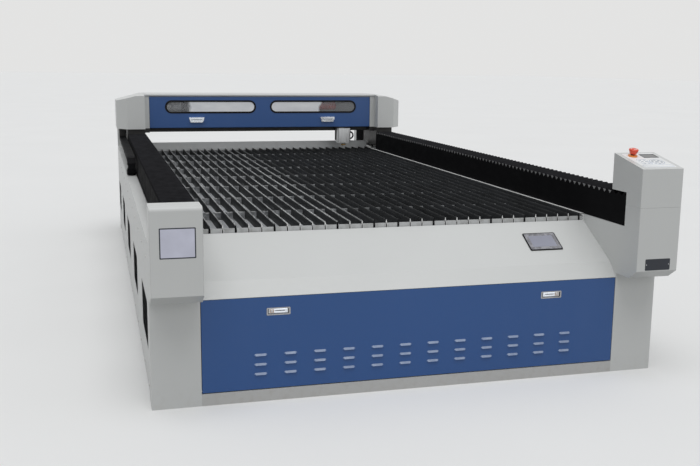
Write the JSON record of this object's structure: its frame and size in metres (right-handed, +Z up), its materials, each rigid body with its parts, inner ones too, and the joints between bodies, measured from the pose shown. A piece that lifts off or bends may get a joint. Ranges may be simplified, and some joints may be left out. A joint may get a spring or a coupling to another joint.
{
  "type": "flatbed laser cutter",
  "caption": "Large flatbed laser cutter with a knife-blade bed, bellows-covered side rails, a windowed gantry and a corner console.",
  "frame": {"origin": "middle of the footprint box, on the floor", "axes": "+Z up, +X to the operator's right, +Y from the operator's end towards the rear"},
  "size_m": [2.18, 4.35, 1.08],
  "materials": {
    "paint_light": "satin",
    "paint_blue": "satin",
    "frame_steel": "satin",
    "bright_steel": "brushed",
    "blade_steel": "brushed",
    "bellows_cloth": "matte",
    "black_plastic": "matte",
    "seal_rubber": "matte",
    "black_metal": "satin",
    "chrome_trim": "polished",
    "aluminium": "satin",
    "tube_glass": "clear",
    "pane_acrylic": "clear",
    "boot_silicone": "matte",
    "screen_glass": "polished",
    "overlay_film": "matte",
    "stop_yellow": "gloss",
    "stop_red": "gloss",
    "stem_plastic": "matte"
  },
  "bodies": {
    "machine": {"base_frame": "frame_steel", "corner_legs": "paint_light", "front_plinth": "paint_light", "front_apron": "paint_light", "screen_bezel": "black_plastic", "touch_screen": "screen_glass", "door_pivots": "bright_steel", "end_box_left": "paint_light", "console_pedestal": "paint_light", "console_box": "paint_light", "membrane_panel": "overlay_film", "console_display": "screen_glass", "stop_collar": "stop_yellow", "side_panels": "paint_light", "side_trays": "paint_light", "rail_beams": "frame_steel", "guide_rails": "bright_steel", "gear_racks": "bright_steel", "bed_walls": "paint_light", "scrap_tray": "frame_steel", "blade_combs": "bright_steel", "cross_beams": "frame_steel", "knife_blades": "blade_steel", "bellows_front_left": "bellows_cloth", "bellows_front_right": "bellows_cloth", "bellows_rear_left": "bellows_cloth", "bellows_rear_right": "bellows_cloth", "drag_chain_upper": "black_plastic", "drag_chain_lower": "black_plastic", "rear_boxes": "paint_light", "rear_panel": "paint_light", "exhaust_spigots": "aluminium"},
    "gantry": {"gantry_beam": "black_metal", "gantry_end_frames": "paint_light", "end_cap_left": "paint_light", "end_cap_right": "paint_light", "gantry_cover": "paint_light", "carriage_left": "black_metal", "carriage_right": "black_metal", "chain_bracket": "black_metal", "laser_tube": "tube_glass", "tube_boot": "boot_silicone", "tube_clamps": "black_plastic", "mirror_mount": "aluminium", "head_rail": "bright_steel"},
    "lid": {"gantry_lid": "paint_blue", "window_seals": "seal_rubber", "window_panes": "pane_acrylic", "lid_handles": "chrome_trim"},
    "head": {"head_carriage": "black_metal", "laser_head": "aluminium", "air_hose": "black_plastic"},
    "focus": {"nozzle_unit": "aluminium"},
    "chain_bend": {"drag_chain_bend": "black_plastic"},
    "door": {"front_door": "paint_blue", "latch_cups": "chrome_trim"},
    "latch_left": {"latch_paddle_left": "chrome_trim"},
    "latch_right": {"latch_paddle_right": "chrome_trim"},
    "stop_button": {"stop_stem": "stem_plastic"},
    "stop_knob": {"stop_head": "stop_red"}
  },
  "joints": [
    {"name": "gantry_travel", "type": "slide", "parent": "machine", "child": "gantry", "axis": [0, 1, 0], "range_m": [-3.05, 0], "deforming": ["bellows_front_left", "bellows_front_right", "bellows_rear_left", "bellows_rear_right", "drag_chain_upper", "drag_chain_lower"]},
    {"name": "chain_travel", "type": "slide", "parent": "machine", "child": "chain_bend", "axis": [0, 1, 0], "range_m": [-1.525, 0]},
    {"name": "lid_hinge", "type": "hinge", "parent": "gantry", "child": "lid", "pos_m": [0, 1.614, 1.053], "axis": [-1, 0, 0], "range_deg": [0, 85]},
    {"name": "head_travel", "type": "slide", "parent": "gantry", "child": "head", "axis": [1, 0, 0], "range_m": [-1.39, 0.11]},
    {"name": "focus_travel", "type": "slide", "parent": "head", "child": "focus", "axis": [0, 0, 1], "range_m": [-0.008, 0.012]},
    {"name": "door_hinge", "type": "hinge", "parent": "machine", "child": "door", "pos_m": [0, -2.016, 0.059], "axis": [1, 0, 0], "range_deg": [0, 90]},
    {"name": "latch_left_pull", "type": "hinge", "parent": "door", "child": "latch_left", "pos_m": [-0.583, -2.02, 0.3695], "axis": [-1, 0, 0], "range_deg": [0, 35], "stiffness_Nm_per_rad": 0.05, "springref_deg": -20.05},
    {"name": "latch_right_pull", "type": "hinge", "parent": "door", "child": "latch_right", "pos_m": [0.583, -2.02, 0.3695], "axis": [-1, 0, 0], "range_deg": [0, 35], "stiffness_Nm_per_rad": 0.05, "springref_deg": -20.05},
    {"name": "stop_press", "type": "slide", "parent": "machine", "child": "stop_button", "axis": [0, -0.2071, 0.9783], "range_m": [-0.004, 0], "stiffness_N_per_m": 2500, "springref_m": 0.002},
    {"name": "stop_twist", "type": "hinge", "parent": "stop_button", "child": "stop_knob", "pos_m": [0.939, -2.00673, 0.93763], "axis": [0, -0.2071, 0.9783], "range_deg": [0, 45], "stiffness_Nm_per_rad": 0.05, "springref_deg": -17.19}
  ],
  "couplings": [
    {"joint": "chain_travel", "follows": "gantry_travel", "ratio": 0.5}
  ]
}
